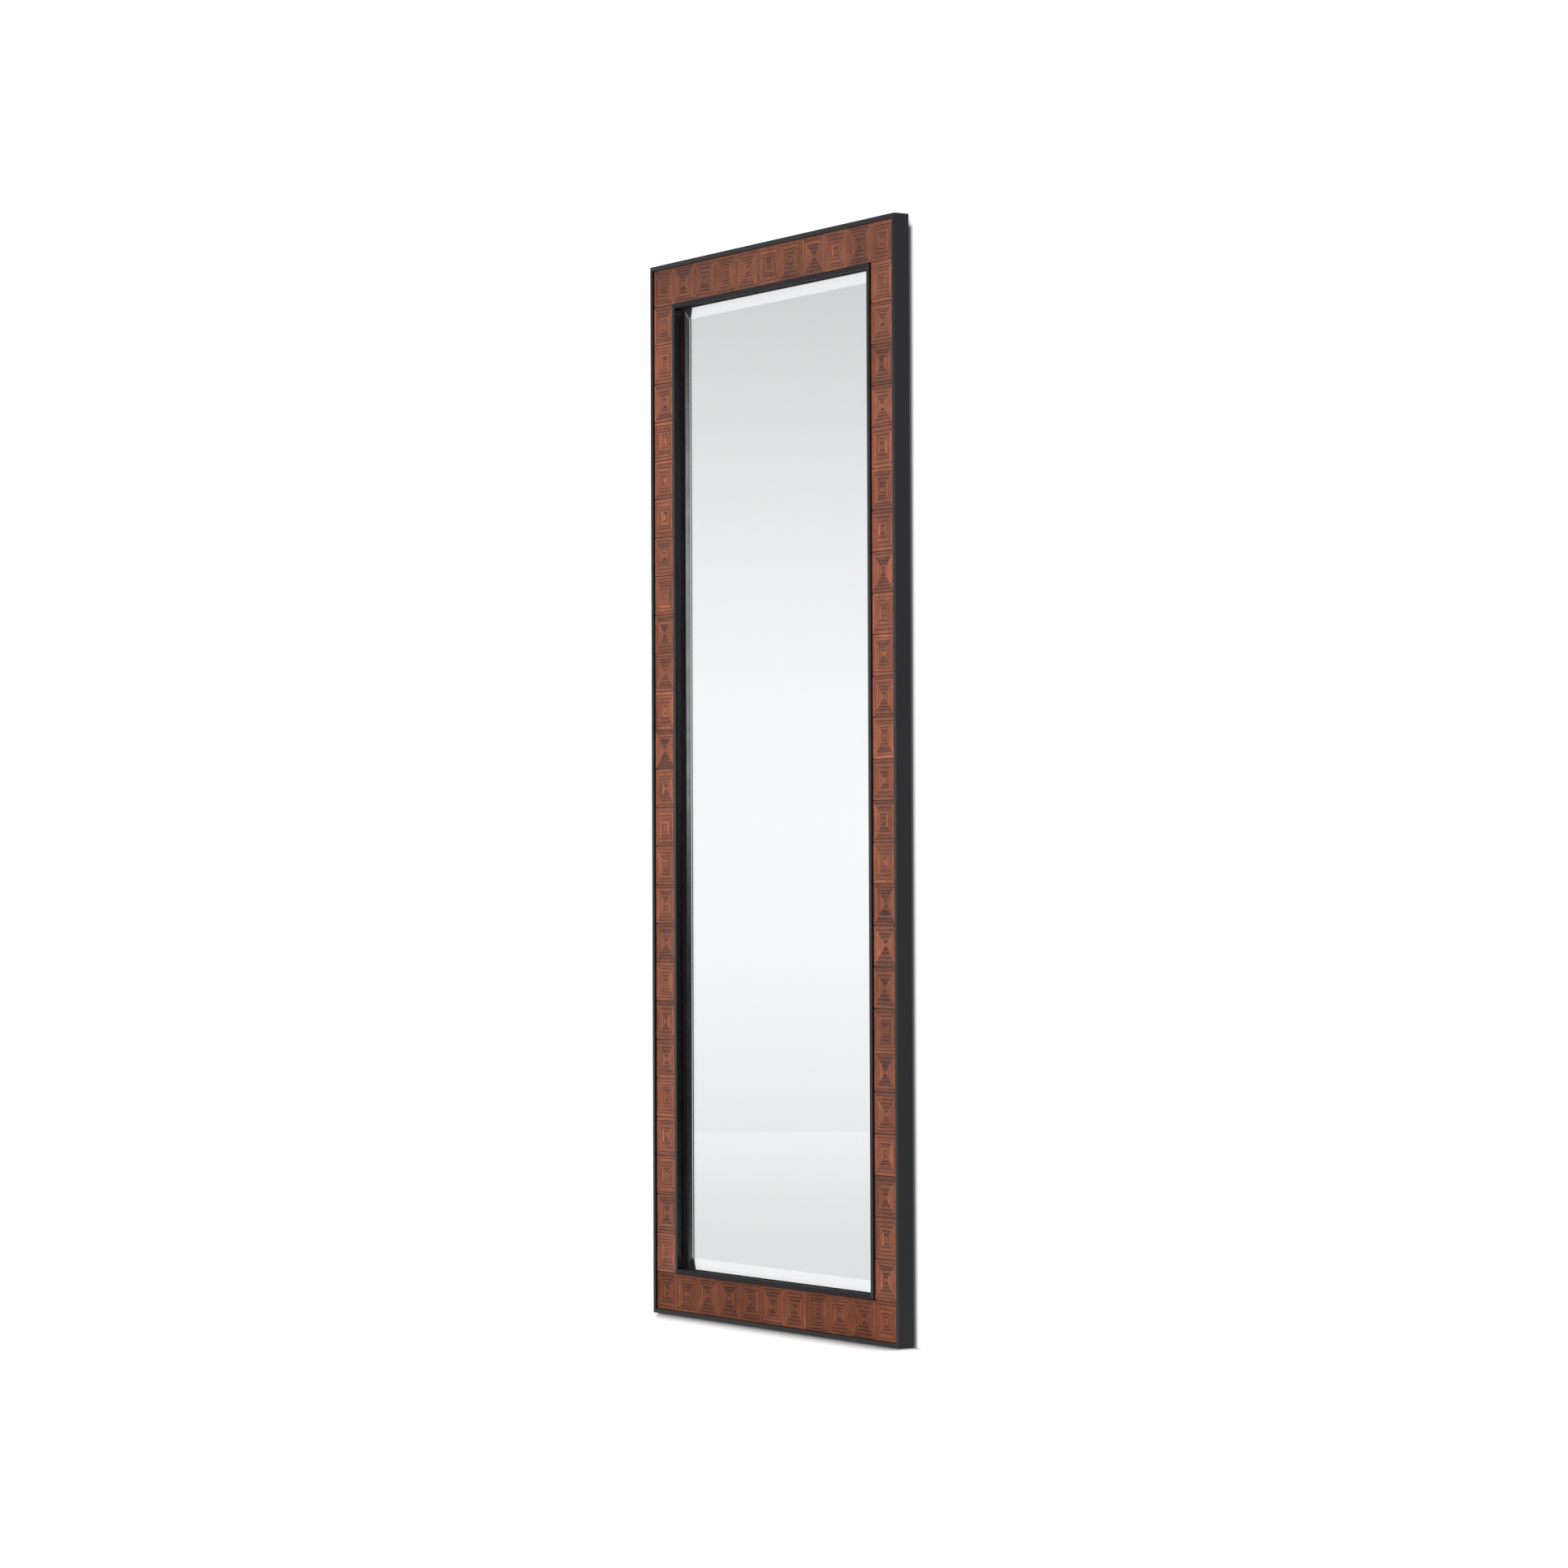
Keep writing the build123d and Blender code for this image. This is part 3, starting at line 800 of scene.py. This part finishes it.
def make_floor_material():
    """A pale floor that reads as white to the camera, with a painted shadow beside the mirror, and shows its
    light in reflections.
    """
    material, tree = bare_material("studio_floor")
    diffuse = add_node(tree, "ShaderNodeBsdfDiffuse", {"Color": FLOOR_COLOUR}).outputs[0]

    place = add_node(tree, "ShaderNodeTexCoord").outputs["Object"]
    split = add_node(tree, "ShaderNodeSeparateXYZ", {"Vector": place}).outputs
    high = cad_box[1]
    forward = outside(tree, math_node(tree, "MULTIPLY", split["Y"], -1.0), high[1], 1.0)
    slanted = math_node(tree, "SUBTRACT", split["X"], math_node(tree, "MULTIPLY", forward, SHADE_SLANT))
    past_right = outside(tree, split["X"], high[0], FLOOR_SIDE_SHADE)
    past_left = outside(tree, math_node(tree, "MULTIPLY", slanted, -1.0), high[0] - SIDE_SHADE, SIDE_SHADE)
    beside = math_node(tree, "MAXIMUM", past_right, past_left)
    before = outside(tree, math_node(tree, "ABSOLUTE", split["Y"]), high[1], FLOOR_SHADE)
    away = add_node(tree, "ShaderNodeCombineXYZ", {"X": beside, "Y": before}).outputs[0]
    apart = add_node(tree, "ShaderNodeVectorMath", {0: away}, operation="LENGTH").outputs["Value"]
    shown = shaded_white(tree, apart, FLOOR_FALL)

    distance = add_node(tree, "ShaderNodeVectorMath", {0: place}, operation="LENGTH").outputs["Value"]
    direction = add_node(tree, "ShaderNodeVectorMath", {0: place}, operation="NORMALIZE").outputs["Vector"]
    bright = map_range(tree, distance, *SWEEP_DISTANCE, *SWEEP_GLOW, smooth=True)
    across = math_node(tree, "ABSOLUTE", facing(tree, place, 90 - CAMERA_AZIMUTH))
    within = map_range(tree, across, *SWEEP_HALF_WIDTH, 1.0, 0.0, smooth=True)
    toward_card = facing(tree, direction, -CAMERA_AZIMUTH)
    ahead = map_range(tree, toward_card, *SWEEP_FACING, 0.0, 1.0, smooth=True)
    on_sweep = math_node(tree, "MULTIPLY", within, ahead)
    share, strength = dim_window(tree, direction, 0.0)
    around = side_glow(tree, direction)
    sides = map_range(tree, distance, *NEAR_FLOOR_DISTANCE, NEAR_FLOOR, around, smooth=True)
    rest = add_node(tree, "ShaderNodeMix", {0: share, 2: sides, 3: strength}).outputs[0]
    reflected = add_node(tree, "ShaderNodeMix", {0: on_sweep, 2: rest, 3: bright}).outputs[0]
    lit = mix_shaders(tree, mirrored_rays(tree), diffuse, white_glow(tree, reflected))
    both = mix_shaders(tree, camera_rays(tree), lit, shown)
    add_node(tree, "ShaderNodeOutputMaterial", {"Surface": both})
    return material


def make_wall_material():
    """A white wall that only the camera sees, and only from the front, with a painted shadow beside the
    mirror.
    """
    material, tree = bare_material("studio_wall")
    behind = add_node(tree, "ShaderNodeNewGeometry").outputs["Backfacing"]
    clear = add_node(tree, "ShaderNodeBsdfTransparent").outputs[0]
    visible = math_node(tree, "MULTIPLY", math_node(tree, "SUBTRACT", 1.0, behind), camera_rays(tree))
    place = add_node(tree, "ShaderNodeTexCoord").outputs["Object"]
    split = add_node(tree, "ShaderNodeSeparateXYZ", {"Vector": place}).outputs
    high = cad_box[1]
    beside = outside(tree, math_node(tree, "ABSOLUTE", split["X"]), high[0], SIDE_SHADE)
    above = outside(tree, split["Z"], high[2] - SIDE_SHADE, SIDE_SHADE)
    apart = math_node(tree, "ADD", beside, above)
    shown = shaded_white(tree, apart, WALL_FALL)
    both = mix_shaders(tree, visible, clear, shown)
    add_node(tree, "ShaderNodeOutputMaterial", {"Surface": both})
    return material


def make_stage():
    """The floor, the wall just behind the bumpers, and the card that the plate reflects."""
    half = FLOOR_SIZE / 2
    floor = [(-half, -half, 0), (half, -half, 0), (half, half, 0), (-half, half, 0)]
    make_plane("floor", floor, make_floor_material())
    wall_y = cad_box[1][1] + WALL_GAP
    wall = [(-half, wall_y, 0), (half, wall_y, 0), (half, wall_y, half), (-half, wall_y, half)]
    make_plane("wall", wall, make_wall_material())
    middle = Vector(toward(-CAMERA_AZIMUTH)) * CARD_DISTANCE
    side = Vector(toward(90 - CAMERA_AZIMUTH)) * CARD_HALF_WIDTH
    top = Vector((0, 0, CARD_HEIGHT))
    card = [middle - side, middle + side, middle + side + top, middle - side + top]
    make_plane("card", card, make_card_material())


make_camera()
make_world()
make_stage()
make_lamp("key", (2.95, -3.2, 1.48), aim=(0, 0, 1.3), size=(1.15, 1.15), power=31, in_reflections=True)
make_lamp("front", (-0.6, -2.3, 1.5), aim=(0, 0, 1.1), size=(1.3, 1.3), power=24, in_reflections=False)
make_lamp("back", (1.2, 2.6, 2.2), aim=(0, 0, 0.9), size=(2.0, 2.0), power=26, in_reflections=False)

lacquer = make_lacquer(
    "black_lacquer",
    specular=0.45,
    dark=(0.0036, 0.0035, 0.0062),
    light=(0.0066, 0.0064, 0.0100),
    gloss_range=(0.15, 0.24),
)
# Painted shade: a copy of the lacquer with weaker reflections, so the bottom outer trim is darker.
bottom_lacquer = make_lacquer(
    "bottom_trim_lacquer",
    specular=0.25,
    dark=(0.010, 0.009, 0.011),
    light=(0.014, 0.013, 0.016),
    gloss_range=(0.18, 0.28),
)
# A near-matt, lighter copy of the lacquer, used only on the inner trims at top and bottom.
level_trim_lacquer = make_lacquer(
    "level_trim_lacquer",
    specular=0.04,
    dark=(0.026, 0.024, 0.027),
    light=(0.034, 0.032, 0.035),
    gloss_range=(0.38, 0.48),
)
glue = make_glue_material()
inlay = make_inlay_material("strip_inlay", 0.34)
# Painted shade: a copy of the inlay with weaker reflections, so the bottom rail is darker.
bottom_inlay = make_inlay_material("bottom_rail_inlay", 0.10)
inlay_of = {"left": inlay, "right": inlay, "top": inlay, "bottom": bottom_inlay}
zinc = make_metal("zinc_steel", (0.62, 0.63, 0.62), (0.5, 0.51, 0.5), 0.38, 900.0)
nickel = make_metal("nickel_steel", (0.68, 0.66, 0.62), (0.6, 0.58, 0.54), 0.2, 1200.0)
screw_steel = make_metal("screw_steel", (0.55, 0.54, 0.5), (0.42, 0.41, 0.38), 0.33, 1500.0)
rubber = make_rubber()
dress_nodes({
    "outer_trim_bottom": bottom_lacquer,
    "inner_trim_bottom": level_trim_lacquer,
    "inner_trim_top": level_trim_lacquer,
    "outer_trim": lacquer,
    "inner_trim": lacquer,
    "core_rail": make_stained_core(),
    "corner_brace": zinc,
    "hanger": nickel,
    "wall_bumpers": rubber,
    "foot_pads": rubber,
    "glass_setting_blocks": rubber,
    "glass_cushion": make_felt(),
    "back_panel": make_hardboard(),
    "mitre_biscuits": make_beech(),
    "back_panel_screws": screw_steel,
    "corner_brace_screws": screw_steel,
    "hanger_screws": screw_steel,
    "bumper_screws": screw_steel,
})
for number, side in enumerate(("left", "right", "top", "bottom")):
    make_inlay(side, (inlay_of[side], glue), INLAY_SEED + number)
make_mirror_plate(make_glass_material(), make_silver())

bpy.context.scene.view_settings.view_transform = "Standard"
